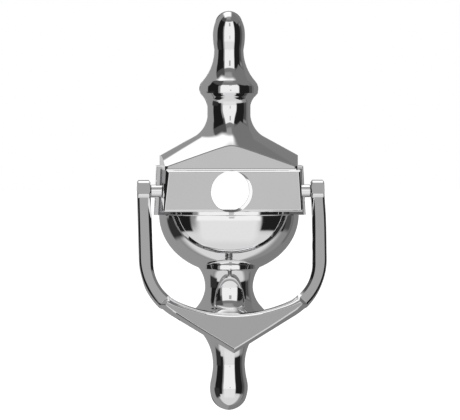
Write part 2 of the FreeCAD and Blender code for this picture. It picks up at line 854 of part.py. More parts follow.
os.makedirs("parts", exist_ok=True)
for piece in pieces:
    shape = piece.Shape
    if shape.isNull() or not shape.isValid() or len(shape.Solids) != 1:
        raise RuntimeError(f"{piece.Label} is not one valid solid")
    shape.exportStep(f"parts/{piece.Label}.step")
    print(f"{piece.Label}: {shape.Volume:.0f} mm3")
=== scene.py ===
"""A polished chrome urn door knocker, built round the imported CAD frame.

Sizes are in millimetres in the tables below and turned to metres when a mesh is made.
+Z is up, -Y is out of the door, and the plate's back stands one seal's thickness off the door face.
"""

import math

import bmesh
import bpy
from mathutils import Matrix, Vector


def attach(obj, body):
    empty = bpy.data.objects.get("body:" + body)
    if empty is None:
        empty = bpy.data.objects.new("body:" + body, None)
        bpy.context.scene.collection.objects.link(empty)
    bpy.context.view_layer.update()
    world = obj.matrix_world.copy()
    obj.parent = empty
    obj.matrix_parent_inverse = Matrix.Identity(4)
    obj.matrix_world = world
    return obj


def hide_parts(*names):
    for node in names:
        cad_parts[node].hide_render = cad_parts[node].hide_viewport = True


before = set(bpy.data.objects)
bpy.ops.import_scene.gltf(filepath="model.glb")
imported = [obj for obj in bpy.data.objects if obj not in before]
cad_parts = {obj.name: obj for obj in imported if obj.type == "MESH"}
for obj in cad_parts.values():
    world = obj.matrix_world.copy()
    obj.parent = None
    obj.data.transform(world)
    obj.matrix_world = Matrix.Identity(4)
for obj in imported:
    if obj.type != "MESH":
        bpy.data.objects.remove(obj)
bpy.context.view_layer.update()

MM = 0.001
SEAL = 1.0
BACK_CUT = 6.0  # how far forms run past the plate's back before they are cut off there
FORWARD = (0, -1, 0)
POLE = 0.02  # the radius that stands for a point on an axis

# ---------------------------------------------------------------- mesh helpers


def new_piece(name, mesh):
    piece = bpy.data.objects.new(name, mesh)
    bpy.context.scene.collection.objects.link(piece)
    return piece


def solid(name, rings):
    """A closed solid through rings of points in mm, each ring with the same number of points."""
    count = len(rings[0])
    points = [Vector(p) * MM for ring in rings for p in ring]
    faces = []
    for k in range(len(rings) - 1):
        for i in range(count):
            j = (i + 1) % count
            faces.append((k * count + i, k * count + j, (k + 1) * count + j, (k + 1) * count + i))
    last = (len(rings) - 1) * count
    faces.append(tuple(range(count))[::-1])
    faces.append(tuple(range(last, last + count)))
    mesh = bpy.data.meshes.new(name)
    mesh.from_pydata(points, [], faces)
    tidy = bmesh.new()
    tidy.from_mesh(mesh)
    bmesh.ops.recalc_face_normals(tidy, faces=tidy.faces)
    tidy.to_mesh(mesh)
    tidy.free()
    return new_piece(name, mesh)


def settle(piece):
    """Turn the piece's modifiers into plain mesh."""
    graph = bpy.context.evaluated_depsgraph_get()
    mesh = bpy.data.meshes.new_from_object(piece.evaluated_get(graph))
    piece.modifiers.clear()
    piece.data = mesh
    return piece


def combine(piece, others, operation):
    """Add (UNION) or cut away (DIFFERENCE) other solids, which are used up."""
    for other in others:
        step = piece.modifiers.new("combine", "BOOLEAN")
        step.operation = operation
        step.solver = "MANIFOLD"
        step.object = other
        settle(piece)
        bpy.data.objects.remove(other)
    return piece


def soften(piece, width, segments=2, angle=30):
    """Break the piece's edges by a width in mm."""
    step = piece.modifiers.new("soften", "BEVEL")
    step.width = width * MM
    step.segments = segments
    step.limit_method = "ANGLE"
    step.angle_limit = math.radians(angle)
    step.use_clamp_overlap = True
    return settle(piece)


def shade(piece, angle=28, flat_area=None):
    """Smooth shading that leaves edges over an angle sharp, and faces over an area in mm2 flat."""
    mesh = piece.data
    mesh.shade_smooth()
    mesh.set_sharp_from_angle(angle=math.radians(angle))
    large = [face for face in mesh.polygons if flat_area and face.area > flat_area * MM**2]
    for face in large:
        for corner in face.loop_indices:
            mesh.edges[mesh.loops[corner].edge_index].use_edge_sharp = True
    step = piece.modifiers.new("flats", "WEIGHTED_NORMAL")
    step.keep_sharp = True
    return settle(piece)


def finish_piece(piece, body, slot, material, *nodes):
    piece.data.materials.clear()
    piece.data.materials.append(material)
    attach(piece, body)
    if nodes:
        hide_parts(*nodes)
    return piece


# ---------------------------------------------------------------- outline helpers


def arc(start, end, radius, side, step=1.0):
    """Points after start on the shorter arc to end, bulging left (1) or right (-1) of its way."""
    a, b = Vector(start), Vector(end)
    chord = b - a
    half = chord.length / 2
    left = Vector((-chord.y, chord.x)).normalized()
    centre = (a + b) / 2 - left * (side * math.sqrt(max(radius**2 - half**2, 0)))
    first, last = (a - centre).to_tuple(), (b - centre).to_tuple()
    begin = math.atan2(first[1], first[0])
    turn = math.atan2(last[1], last[0]) - begin
    turn = (turn + math.pi) % (2 * math.pi) - math.pi
    count = max(2, round(abs(turn) * radius / step))
    angles = [begin + turn * k / count for k in range(1, count + 1)]
    return [(centre.x + radius * math.cos(t), centre.y + radius * math.sin(t)) for t in angles]


def trace(corners, step=1.0):
    """An open outline. A corner is (x, y), or (x, y, radius, side) if an arc leaves it."""
    points = [corners[0][:2]]
    for here, after in zip(corners, corners[1:]):
        if len(here) == 4:
            points += arc(here[:2], after[:2], here[2], here[3], step)
        else:
            points.append(after[:2])
    return points


def dome(radius, height, centre, count=14):
    """Radius and height down one quarter of an ellipse, from its pole to its widest place."""
    angles = [math.pi / 2 * k / count for k in range(count + 1)]
    return [(radius * math.sin(t), centre + height * math.cos(t)) for t in angles]


def front(depth):
    """Y of a place that many mm in front of the plate's back."""
    return -(SEAL + depth)


def full_turn(count):
    return [2 * math.pi * k / count for k in range(count)]


def turned(name, profile, around=128):
    """A solid turned about the upright axis in the plate's back, from (radius, height) pairs."""
    rings = []
    for radius, height in profile:
        r = max(radius, POLE)
        rings.append([(r * math.cos(t), front(r * math.sin(t)), height) for t in full_turn(around)])
    return solid(name, rings)


def plug(name, centre, direction, profile, around=48):
    """A solid turned about an axis through centre, from (distance along, radius) pairs."""
    turn = Vector((0, 0, 1)).rotation_difference(Vector(direction)).to_matrix()
    rings = []
    for along, radius in profile:
        flat = [Vector((radius * math.cos(t), radius * math.sin(t), along)) for t in full_turn(around)]
        rings.append([tuple(Vector(centre) + turn @ p) for p in flat])
    return solid(name, rings)


def prism(name, outline, near, far):
    """A solid between two depths from an outline of (x, z) points."""
    return solid(name, [[(x, front(d), z) for x, z in outline] for d in (near, far)])


def both_sides(points):
    return points + [(-x, z) for x, z in reversed(points)]


# ---------------------------------------------------------------- plate

NECK = 10.5
FINIAL = dome(7.8, 11.4, 76.0)[:-1] + trace(
    [
        (7.8, 76.0, 34.0, 1),
        (7.1, 68.5, 23.0, -1),
        (13.0, 53.1),
        (14.0, 51.2, 14.0, 1),
        (14.1, 47.3),
        (13.3, 46.4),
        (12.9, 45.9, 6.2, -1),
        (NECK, 41.0),
    ],
    step=0.6,
)

SHOULDER = (33.8, 17.1)
ROOF_SLOPE = math.tan(math.radians(28.7))
ROOF_CROWN = SHOULDER[1] + SHOULDER[0] * ROOF_SLOPE
FACET_DEPTH = 20.0
FACET_PEAK = 23.08
FACET_SLOPE = 0.354
FACET_ROUND = 3.0
FACET_FOOT, FACET_EDGE = 19.76, 0.48
FACET_HALF, FACET_HALF_FRONT = 30.85, 30.5
NECK_FILLET = 6.24
LEDGE_TOP = 11.15
INSIDE = 9.0  # the height, inside the band, where the upper forms end
# The shoulders' half width at each depth, as (depth, half width).
SHOULDER_DRAFT = [(-BACK_CUT - 1, 34.15), (0.0, SHOULDER[0]), (19.2, 31.9), (FACET_FOOT, 30.9)]


def roof_height(x, depth):
    """Height of the roof, whose pitch flattens and drops from the silhouette to the facet."""
    share = (depth / FACET_DEPTH) ** 2
    crown = ROOF_CROWN + (FACET_PEAK - ROOF_CROWN) * share
    slope = ROOF_SLOPE + (FACET_SLOPE - ROOF_SLOPE) * share
    return crown - slope * math.sqrt(x**2 + FACET_ROUND**2 * share)


def outside(reach, turn, height):
    """How far a place lies outside neck and roof, with a fillet where the two meet."""
    x, depth = reach * math.sin(turn), reach * math.cos(turn)
    steep = math.hypot(1, ROOF_SLOPE, 2 * (ROOF_CROWN - FACET_PEAK) * depth / FACET_DEPTH**2)
    from_roof = (height - roof_height(x, depth)) / steep
    from_neck = reach - NECK
    near_roof, near_neck = max(NECK_FILLET - from_roof, 0), max(NECK_FILLET - from_neck, 0)
    return max(NECK_FILLET, min(from_roof, from_neck)) - math.hypot(near_roof, near_neck)


def skin_reach(turn, height):
    """Distance from the neck's axis to the skin at an angle from the front."""
    low, high = 0.0, 75.0
    halvings = 22
    for _ in range(halvings):
        middle = (low + high) / 2
        if outside(middle, turn, height) < 0:
            low = middle
        else:
            high = middle
    return high


def upper_ring(reaches, turns, z):
    """A full ring: half circle in front, carried straight back past the cut."""
    front_half = [(r * math.sin(t), front(max(r * math.cos(t), 0)), z) for r, t in zip(reaches, turns)]
    first, last = front_half[0], front_half[-1]
    return [(first[0], front(-BACK_CUT), z)] + front_half + [(last[0], front(-BACK_CUT), z)]


def upper_part():
    """Finial, bead, neck and roof as one skin of rings, then cut to the flat facet and shoulders."""
    count = 120
    turns = [math.pi / 2 * (2 * k / count - 1) for k in range(count + 1)]
    rings = [upper_ring([max(radius, POLE)] * (count + 1), turns, z) for radius, z in FINIAL]
    # Heights of the rings below the finial, closest where neck and roof meet.
    rows = [40.4 - 0.6 * k for k in range(23)] + [26.8 - 0.4 * k for k in range(16)]
    rows += [20.4 - 0.8 * k for k in range(10)] + [12.4, 11.5, LEDGE_TOP - 2]
    rings += [upper_ring([skin_reach(t, z) for t in turns], turns, z) for z in rows]
    skin = solid("upper_part", rings)
    above = 95.0
    keep = []
    for depth, half in SHOULDER_DRAFT:
        outline = both_sides([(half, above), (half, INSIDE)])
        keep.append([(x, front(depth), z) for x, z in outline])
    combine(skin, [solid("keep", keep)], "INTERSECT")
    return combine(skin, [facet_part()], "UNION")


def facet_outline(depth, half, lower):
    """The roof's outline at the facet, brought down by a little, and closed along the bottom."""
    y = front(depth)
    steps = [half * (k / 24 - 1) for k in range(49)]
    top = [(x, y, roof_height(x, FACET_FOOT) - lower) for x in steps]
    return top + [(half, y, INSIDE), (-half, y, INSIDE)]


def facet_part():
    """The flat front of the pediment, with a narrow bevel along the roof."""
    sunk = 0.03
    back, foot = (12.0, FACET_HALF, sunk), (FACET_FOOT, FACET_HALF, sunk)
    face = (FACET_DEPTH, FACET_HALF_FRONT, FACET_EDGE)
    return solid("facet", [facet_outline(*level) for level in (back, foot, face)])


def ledge_part():
    """The narrow step under the facet."""
    half = 31.2
    rows = [(LEDGE_TOP, FACET_DEPTH - 0.1), (10.75, 20.6), (10.5, 20.85), (10.0, 20.85)]
    rings = [[(-half, 0, z), (-half, front(d), z), (half, front(d), z), (half, 0, z)] for z, d in rows]
    return solid("ledge", rings)


def trapezoid(top_half, low_half, top, low):
    return both_sides([(top_half, top), (low_half, low)])


WING_TOP, WING_LOW, WING_DEPTH = 12.2, -11.8, 9.0

# Levels of the bevelled block as (depth, top, bottom, left, right). Left and right are each (at top,
# at bottom), and the last of left is how much deeper the lower left corner stands.
BLOCK = [
    (-3.0, 10.8, -10.2, (33.4, 34.5, 0.0), (33.4, 34.5)),
    (19.7, 10.4, -9.9, (33.0, 34.05, 0.0), (33.3, 34.3)),
    (21.8, 10.25, -9.75, (31.6, 32.75, 0.45), (33.25, 34.25)),
    (22.2, 10.05, -9.55, (31.2, 32.5, 0.3), (33.15, 34.15)),
    (22.6, 9.6, -9.15, (30.8, 32.3, 0.15), (32.85, 33.9)),
    (22.88, 9.25, -8.85, (30.2, 32.15, 0.05), (32.4, 33.5)),
    (23.0, 9.1, -8.7, (29.9, 32.05, 0.0), (32.1, 33.2)),
]

# How far out the dark frame of painted shade round the block reaches, each as (at top, at bottom).
SHADE_FRAME_LEFT, SHADE_FRAME_RIGHT = (33.7, 34.85), (34.95, 35.85)


def make_shade_frame():
    """A dark frame of painted shade in the recess where the block stands on the wing."""
    top, low = 10.7, WING_LOW + 0.15
    corners = [(SHADE_FRAME_RIGHT[0], top), (SHADE_FRAME_RIGHT[1], low), (-SHADE_FRAME_LEFT[1], low), (-SHADE_FRAME_LEFT[0], top)]
    shade_frame = soften(prism("shade_frame", corners, WING_DEPTH - 1.0, WING_DEPTH + 0.25), 0.1, 1)
    core = prism("shade_frame_core", trapezoid(32.3, 33.3, 9.6, -9.1), WING_DEPTH - 2.0, WING_DEPTH + 1.0)
    return shade(combine(shade_frame, [core], "DIFFERENCE"))


def block_ring(depth, top, low, left, right):
    right_side = [(right[0], front(depth), top), (right[1], front(depth), low)]
    return right_side + [(-left[1], front(depth + left[2]), low), (-left[0], front(depth), top)]


def band_parts():
    """The wing against the door, and the bevelled block in front of it."""
    wing = prism("wing", trapezoid(35.6, 36.9, WING_TOP, WING_LOW), -BACK_CUT, WING_DEPTH)
    soften(wing, 0.35, 2)
    block = solid("block", [block_ring(*level) for level in BLOCK])
    soften(block, 0.16, 2, 20)
    return [wing, block, ledge_part()]


# The bowl's half width, drop, depth to the front and the height of its widest place.
BOWL = (34.2, 28.6, 22.0, -12.0)


def bowl_part(name, half, drop, deep, centre, lip=0.7, around=144, down=44):
    """The lower half of an ellipsoid whose upper edge turns in with a small round."""
    rings = []
    for k in range(4):
        t = math.pi / 2 * k / 3
        rings.append((1 - lip / half * (1 - math.sin(t)), centre + lip * math.cos(t)))
    for k in range(1, down + 1):
        t = math.pi / 2 * k / down
        rings.append((max(math.cos(t), 0.002), centre - drop * math.sin(t)))
    made = []
    for share, z in rings:
        wide, far = half * share, deep * share
        made.append([(wide * math.cos(t), front(far * math.sin(t)), z) for t in full_turn(around)])
    top = [(x * 0.96, front((-y - SEAL) * 0.96), centre + lip) for x, y, z in made[0]]
    root = [(x, y, centre + lip + 3.0) for x, y, z in top]
    return solid(name, [root, top] + made)


# The lower finial's widest place, and how far its round end drops below that.
TIP_RADIUS, TIP_HEIGHT, TIP_DROP = 9.3, -96.5, 11.2

LOWER = trace(
    [
        (11.0, -30.0),
        (14.6, -35.6),
        (14.9, -36.2),
        (14.9, -37.9),
        (14.4, -38.4, 17.3, -1),
        (11.7, -47.4, 15.6, -1),
        (16.4, -57.4),
        (17.4, -58.6, 5.2, 1),
        (17.2, -65.6),
        (16.0, -67.0, 25.0, -1),
        (7.8, -85.5, 45.0, -1),
        (9.0, -93.5, 14.0, 1),
        (TIP_RADIUS, TIP_HEIGHT),
    ],
    step=0.6,
)


def lower_part():
    """Stem and lower finial."""
    tip = [(r, TIP_HEIGHT - h) for r, h in reversed(dome(TIP_RADIUS, TIP_DROP, 0.0))]
    return turned("lower_part", LOWER + tip[1:])


def hollow_parts():
    """What is cut from the back of the casting."""
    outline = trapezoid(31.0, 31.9, 8.2, -7.9)
    band = soften(prism("band_hollow", outline, -BACK_CUT, 20.0), 1.6, 4)
    bowl = bowl_part("bowl_hollow", 31.2, 25.4, 18.6, -12.9, around=96, down=28)
    keep = plug("bowl_keep", (0, 0, 0), (0, 0, 1), [(-60, 60), (-12.8, 60)], 4)
    bowl = combine(bowl, [keep], "INTERSECT")
    roof = both_sides([(7.0, 24.6), (17.0, 19.6), (29.6, 15.0), (29.6, 13.4)])
    roof = soften(prism("roof_hollow", roof, -BACK_CUT, 7.0), 0.5, 2)
    neck = turned("neck_hollow", [(6.6, 40.5), (7.6, 39.5), (7.6, 26.8), (6.8, 26.0)], 64)
    stem = trace([(7.8, -39.0), (8.8, -40.0), (8.8, -53.0), (14.6, -59.5), (14.6, -64.9), (13.8, -65.5)])
    return [band, bowl, roof, neck, turned("stem_hollow", stem, 64)]


HOLE_RADIUS, COLLAR_RADIUS = 10.0, 11.6
PIVOT_DEPTH, PIN_RADIUS, STUB_RADIUS = 13.0, 2.0, 3.1
GRUB_X, GRUB_DEPTH, GRUB_RADIUS = 27.0, 5.0, 1.65
STUD_HIGH, STUD_LOW, STUD_HOLE_RADIUS = 49.0, -63.0, 2.1
BUTTON_HEIGHT, BUTTON_SEAT, BUTTON_LONG = -64.2, 15.2, 7.6
BLOCK_DEPTH = 23.0


def boss_parts():
    """Collar, pillars and bosses that stand inside the hollows, and the stubs for the pins."""
    collar = [(0, COLLAR_RADIUS), (BACK_CUT + 20.0, COLLAR_RADIUS)]
    made = [plug("collar", (0, front(-BACK_CUT), 0), FORWARD, collar, 96)]
    for side in (1, -1):
        outline = [(side * x, z) for x, z in ((20, 5), (33, 5), (33, -5), (20, -5))]
        made.append(soften(prism("pillar", outline, 5.0, 21.0), 0.6, 2))
        stub = [(0, STUB_RADIUS), (6.3, STUB_RADIUS), (6.7, STUB_RADIUS - 0.3)]
        made.append(plug("stub", (side * 32.0, front(PIVOT_DEPTH), 0), (side, 0, 0), stub))
    stud_boss = [(-BACK_CUT, 5.2), (16.0, 5.2)]
    made.append(plug("stud_boss", (0, front(0), STUD_LOW), FORWARD, stud_boss))
    return made


def bore_parts():
    """Every hole in the plate. The one for the viewer has its edge broken."""
    edge = 0.08
    hole = [
        (-BACK_CUT, HOLE_RADIUS),
        (BLOCK_DEPTH - 0.1 - edge, HOLE_RADIUS),
        (BLOCK_DEPTH + edge, HOLE_RADIUS + 2 * edge),
        (BLOCK_DEPTH + 3.0, HOLE_RADIUS + 3.0),
    ]
    pin_hole = [(0, PIN_RADIUS), (18.0, PIN_RADIUS)]
    grub_hole = [(-2, GRUB_RADIUS), (8.0, GRUB_RADIUS)]
    stud_hole = [(-2, STUD_HOLE_RADIUS), (10.0, STUD_HOLE_RADIUS)]
    made = [plug("spyhole", (0, front(0), 0), FORWARD, hole, 128)]
    for side in (1, -1):
        made.append(plug("pin_hole", (side * 22.0, front(PIVOT_DEPTH), 0), (side, 0, 0), pin_hole))
        made.append(plug("grub_hole", (side * GRUB_X, front(GRUB_DEPTH), 0), FORWARD, grub_hole))
    for height in (STUD_HIGH, STUD_LOW):
        made.append(plug("stud_hole", (0, front(0), height), FORWARD, stud_hole))
    seat, shank = (0, front(BUTTON_SEAT), BUTTON_HEIGHT), (0, front(BUTTON_SEAT - 3.5), BUTTON_HEIGHT)
    made.append(plug("flat", seat, FORWARD, [(0, 3.8), (9.0, 3.8)]))
    made.append(plug("shank_hole", shank, FORWARD, [(0, 2.2), (4.0, 2.2)]))
    return made


def back_half():
    """A block behind the plate's back."""
    return prism("behind", [(60, 120), (60, -140), (-60, -140), (-60, 120)], -60.0, 0.0)


def make_plate():
    """The hollow casting, joined from its forms and cut flat at the back."""
    plate = upper_part()
    plate.name = "urn_plate"
    bowl = bowl_part("bowl", *BOWL)
    combine(plate, band_parts() + [bowl, lower_part()], "UNION")
    combine(plate, hollow_parts(), "DIFFERENCE")
    combine(plate, boss_parts(), "UNION")
    combine(plate, bore_parts() + [back_half()], "DIFFERENCE")
    return shade(plate, flat_area=5.0)


# ---------------------------------------------------------------- bail and hammer

# In the bail's own plane, across from its middle and down from the pivot. The arms lean out by LEAN
# and taper on both sides. TIP is the hammer's point, CROWN the top of the arch above it.
LEAN = math.radians(18.5)
PIVOT_Y = front(PIVOT_DEPTH)
ARM_IN, ARM_OUT, ARM_HALF = 38.7, 45.3, 3.4
TAPER_IN, TAPER_OUT = 0.9, 0.6
BEND_IN, BEND_IN_START = 21.4, 36.5
BEND_OUT, BEND_OUT_START = 33.5, 34.0
CROWN, TIP = 61.3, 80.6
JOINT_IN, JOINT_OUT = math.radians(49.1), math.radians(44.6)
FACE = 5.2  # how far the hammer's face stands in front of the bail's middle plane
EYE_RADIUS, EYE_FLAT, BUSH_RADIUS = 5.4, 4.6, 3.0
KNUCKLE_GAP = 0.3
HAMMER_STEP_WAY = Vector((-0.4, -0.83, -0.38))
# The right arm stands out a little more than the left, by this share, from this far below the eye.
RIGHT_WIDER, RIGHT_WIDER_BELOW = 0.017, 14.0


def leaned(u, w, n):
    """A place in the bail's own plane: u across, w down the arms, n to the front."""
    y = PIVOT_Y - w * math.sin(LEAN) - n * math.cos(LEAN)
    return (u, y, -w * math.cos(LEAN) + n * math.sin(LEAN))


def bail_sides():
    """Pairs of inner and outer places from the eye to the middle, and where the hammer starts."""
    inner_centre = Vector((ARM_IN - TAPER_IN - BEND_IN, BEND_IN_START))
    outer_centre = Vector((ARM_OUT - TAPER_OUT - BEND_OUT, BEND_OUT_START))
    pairs = []
    straight = 5
    for k in range(straight):
        share = k / straight
        inner = Vector((ARM_IN - TAPER_IN * share, BEND_IN_START * share))
        pairs.append((inner, Vector((ARM_OUT - TAPER_OUT * share, BEND_OUT_START * share))))
    steps = 16
    for k in range(steps + 1):
        inner = on_circle(inner_centre, BEND_IN, JOINT_IN * k / steps)
        pairs.append((inner, on_circle(outer_centre, BEND_OUT, JOINT_OUT * k / steps)))
    joint = len(pairs) - 1

    drop = CROWN - BEND_IN_START
    arch = (inner_centre.x**2 + drop**2 - BEND_IN**2) / (2 * (drop - BEND_IN))
    arch_centre = Vector((0, CROWN - arch))
    meet = inner_centre - arch_centre
    meet = math.atan2(meet.y, meet.x)
    inner_way = [on_circle(inner_centre, BEND_IN, t) for t in spread(JOINT_IN, meet, 12)]
    inner_way += [on_circle(arch_centre, arch, t) for t in spread(meet, math.pi / 2, 24)[1:]]
    reach = outer_centre - Vector((0, TIP))
    lean_in = math.asin(BEND_OUT / reach.length)
    way = math.atan2(-reach.y, reach.x) - lean_in
    run = math.sqrt(reach.length**2 - BEND_OUT**2)
    leave = Vector((run * math.cos(way), TIP - run * math.sin(way)))
    leave_turn = math.atan2(leave.y - outer_centre.y, leave.x - outer_centre.x)
    outer_way = [on_circle(outer_centre, BEND_OUT, t) for t in spread(JOINT_OUT, leave_turn, 12)]
    outer_way += [leave.lerp(Vector((0, TIP)), k / 24) for k in range(1, 25)]
    for share in [0.05] + [k / 28 for k in range(2, 29)]:
        pairs.append((along_way(inner_way, share), along_way(outer_way, share)))
    return pairs, joint


def on_circle(centre, radius, turn):
    return centre + radius * Vector((math.cos(turn), math.sin(turn)))


def spread(first, last, count):
    return [first + (last - first) * k / count for k in range(count + 1)]


def along_way(way, share):
    """The place a share of the way along a line of points."""
    lengths = [(b - a).length for a, b in zip(way, way[1:])]
    left = share * sum(lengths)
    for a, b, length in zip(way, way[1:], lengths):
        if left <= length:
            return a.lerp(b, left / length)
        left -= length
    return way[-1].copy()


def arm_profile(wide):
    """(distance from the inner side, height n) round the section of an arm."""
    low = 1.2
    return [
        (0, -ARM_HALF + low),
        (0, 2.3),
        (0.15, 2.65),
        (0.45, 2.85),
        (1.5, ARM_HALF),
        (wide - 1.15, ARM_HALF),
        (wide - 0.45, 3.05),
        (wide - 0.18, 2.75),
        (wide, 2.3),
        (wide, -ARM_HALF + low),
        (wide - low, -ARM_HALF),
        (low, -ARM_HALF),
    ]


def hammer_profile(wide, share):
    """The same round the hammer, whose face opens out from a corner at the joint."""
    inner = 1.35 - 0.35 * min(1, share * 3)
    outer = 1.9 - 0.5 * min(1, share * 2)
    low = 1.2
    return [
        (0, -ARM_HALF + low),
        (0, 2.2),
        (0.9 * inner, 3.9),
        (1.6 * inner, 4.6),
        (2.1 * inner, 4.95),
        (2.8 * inner, FACE),
        (wide - outer, FACE),
        (wide - outer + 0.42, FACE - 0.42),
        (wide - 0.25, 1.9),
        (wide, 1.2),
        (wide - low, -ARM_HALF),
        (low, -ARM_HALF),
    ]


def bail_ring(inner, outer, profile):
    """A ring of the loop, with the profile laid from the inner to the outer place."""
    wide = (outer - inner).length
    ring = []
    for distance, n in profile:
        place = inner.lerp(outer, distance / wide)
        ring.append(leaned(place.x, place.y, n))
    return ring


def widened(z):
    """How much farther out the right arm stands, growing over the first few mm below its eye."""
    return 1 + RIGHT_WIDER * min(1, max(0, -z / RIGHT_WIDER_BELOW))


def eye_front(side):
    """What is cut from an eye's round front to leave it flat, level with the arm's lean."""
    corners = [(side * 36.0, -9.0), (side * 36.0, 9.0), (side * 48.0, 9.0), (side * 48.0, -9.0)]
    return solid("eye_front", [[leaned(u, w, n) for u, w in corners] for n in (EYE_FLAT, 9.0)])


def make_bail():
    """Loop, hammer, eyes and knuckle, joined into one casting."""
    pairs, joint = bail_sides()
    half = []
    for k, (inner, outer) in enumerate(pairs):
        wide = (outer - inner).length
        if k <= joint:
            profile = arm_profile(wide)
        else:
            profile = hammer_profile(wide, (k - joint) / (len(pairs) - 1 - joint))
        half.append(bail_ring(inner, outer, profile))
    other = [[(-x, y, z) for x, y, z in ring] for ring in reversed(half[:-1])]
    half = [[(x * widened(z), y, z) for x, y, z in ring] for ring in half]
    bail = solid("knocker", half + other)
    soften(bail, 0.12, 2, 36)
    eyes = []
    eye_profile = [(0, 4.2), (0.75, EYE_RADIUS), (5.9, EYE_RADIUS), (6.5, 4.7)]
    for side in (1, -1):
        eye = plug("eye", (side * ARM_IN, PIVOT_Y, 0), (side, 0, 0), eye_profile, 96)
        eyes.append(soften(combine(eye, [eye_front(side)], "DIFFERENCE"), 0.2, 1, 30))
    knuckle_end = (0, front(BUTTON_SEAT + BUTTON_LONG + KNUCKLE_GAP), BUTTON_HEIGHT)
    knuckle = [(0, 3.6), (0.6, 4.2), (10.0, 4.2)]
    eyes.append(plug("knuckle", knuckle_end, FORWARD, knuckle, 64))
    combine(bail, eyes, "UNION")
    holes = []
    bush_hole = [(-1, BUSH_RADIUS), (7.2, BUSH_RADIUS)]
    for side in (1, -1):
        holes.append(plug("bush_hole", (side * ARM_IN, PIVOT_Y, 0), (side, 0, 0), bush_hole, 64))
    combine(bail, holes, "DIFFERENCE")
    return shade(bail, 24, 9.0)


# ---------------------------------------------------------------- materials


def new_material(name):
    material = bpy.data.materials.new(name)
    material.use_nodes = True
    tree = material.node_tree
    return material, tree, tree.nodes["Principled BSDF"]


def node(tree, kind, **values):
    """A node with its settings, and its inputs by name where a setting has that name."""
    made = tree.nodes.new(kind)
    for key, value in values.items():
        if key in made.inputs:
            made.inputs[key].default_value = value
        else:
            setattr(made, key, value)
    return made


def noise(tree, scale, detail=3.0, roughness=0.5):
    place = node(tree, "ShaderNodeTexCoord")
    made = node(tree, "ShaderNodeTexNoise", Scale=scale, Detail=detail, Roughness=roughness)
    tree.links.new(place.outputs["Object"], made.inputs["Vector"])
    return made.outputs["Fac"]


def between(tree, value, low, high, start=0.3, end=0.7):
    """Spread a value from one range onto another."""
    made = node(tree, "ShaderNodeMapRange")
    for key, number in (("From Min", start), ("From Max", end), ("To Min", low), ("To Max", high)):
        made.inputs[key].default_value = number
    tree.links.new(value, made.inputs["Value"])
    return made.outputs["Result"]


def mixed_colour(tree, value, first, second):
    made = node(tree, "ShaderNodeValToRGB")
    made.color_ramp.elements[0].color = (*first, 1)
    made.color_ramp.elements[1].color = (*second, 1)
    made.color_ramp.elements[0].position = 0.3
    made.color_ramp.elements[1].position = 0.7
    tree.links.new(value, made.inputs["Fac"])
    return made.outputs["Color"]


def bump(tree, shader, value, height, strength=1.0):
    made = node(tree, "ShaderNodeBump", Strength=strength, Distance=height * MM)
    tree.links.new(value, made.inputs["Height"])
    tree.links.new(made.outputs["Normal"], shader.inputs["Normal"])


def metal(name, dark, light, smooth, rough, grain, wave, wave_height):
    """Plated or bare metal: two close tones, uneven gloss and a slightly wavy surface."""
    material, tree, shader = new_material(name)
    shader.inputs["Metallic"].default_value = 1.0
    tone = mixed_colour(tree, noise(tree, grain / 6, 2.0), dark, light)
    tree.links.new(tone, shader.inputs["Base Color"])
    gloss = between(tree, noise(tree, grain, 4.0, 0.6), smooth, rough)
    tree.links.new(gloss, shader.inputs["Roughness"])
    bump(tree, shader, noise(tree, wave, 2.0, 0.4), wave_height)
    return material


def plastic(name, dark, light, rough, grain, height):
    """Moulded nylon or foam: no metal, an even tone and a fine grain."""
    material, tree, shader = new_material(name)
    tone = mixed_colour(tree, noise(tree, grain / 4, 3.0), dark, light)
    tree.links.new(tone, shader.inputs["Base Color"])
    shader.inputs["Roughness"].default_value = rough
    bump(tree, shader, noise(tree, grain, 4.0, 0.6), height)
    return material


CHROME = metal("chrome", (0.872, 0.868, 0.877), (0.905, 0.901, 0.911), 0.02, 0.06, 90.0, 260.0, 0.010)
# A darker, rougher copy of the chrome: painted shade for the front of the wing.
SHADED_CHROME = metal("painted_shade_chrome", (0.66, 0.66, 0.66), (0.7, 0.7, 0.7), 0.08, 0.14, 90.0, 260.0, 0.010)
# A dark metal that paints shade: the frame round the block's foot and the line along the hammer's lower
# left edge.
PAINTED_SHADE = metal("painted_shade_dark", (0.14, 0.14, 0.15), (0.2, 0.2, 0.21), 0.3, 0.45, 300.0, 700.0, 0.01)
STEEL = metal("steel", (0.5, 0.5, 0.5), (0.62, 0.62, 0.61), 0.25, 0.4, 900.0, 1500.0, 0.006)
ZINC = metal("zinc_plate", (0.58, 0.6, 0.62), (0.72, 0.72, 0.68), 0.22, 0.38, 700.0, 900.0, 0.006)
BLACK_OXIDE = metal("black_oxide", (0.03, 0.03, 0.032), (0.07, 0.07, 0.075), 0.3, 0.5, 900.0, 1200.0, 0.006)
NYLON = plastic("nylon", (0.78, 0.77, 0.72), (0.86, 0.85, 0.8), 0.45, 1600.0, 0.004)
FOAM = plastic("foam", (0.012, 0.012, 0.013), (0.03, 0.03, 0.032), 0.9, 1800.0, 0.06)

# ---------------------------------------------------------------- the pieces


def repaint(piece, material, chosen):
    """Give a second material to the faces that a test picks."""
    piece.data.materials.append(material)
    for face in piece.data.polygons:
        if chosen(face):
            face.material_index = 1


def is_wing_front(face):
    """The front of the wing, painted with a darker copy of the chrome as shade beside the block."""
    off = abs(face.center.y - front(WING_DEPTH) * MM)
    return off < 0.05 * MM and face.normal.y < -0.99


def is_hammer_edge(face):
    """The narrow step along the hammer's lower left edge, painted dark as a line of shade."""
    across, height = face.center.x / MM, face.center.z / MM
    return -27 < across < -0.6 and height < -50 and face.normal.dot(HAMMER_STEP_WAY) > 0.92


plate = finish_piece(make_plate(), "plate", "chrome_casting", CHROME, "backplate")
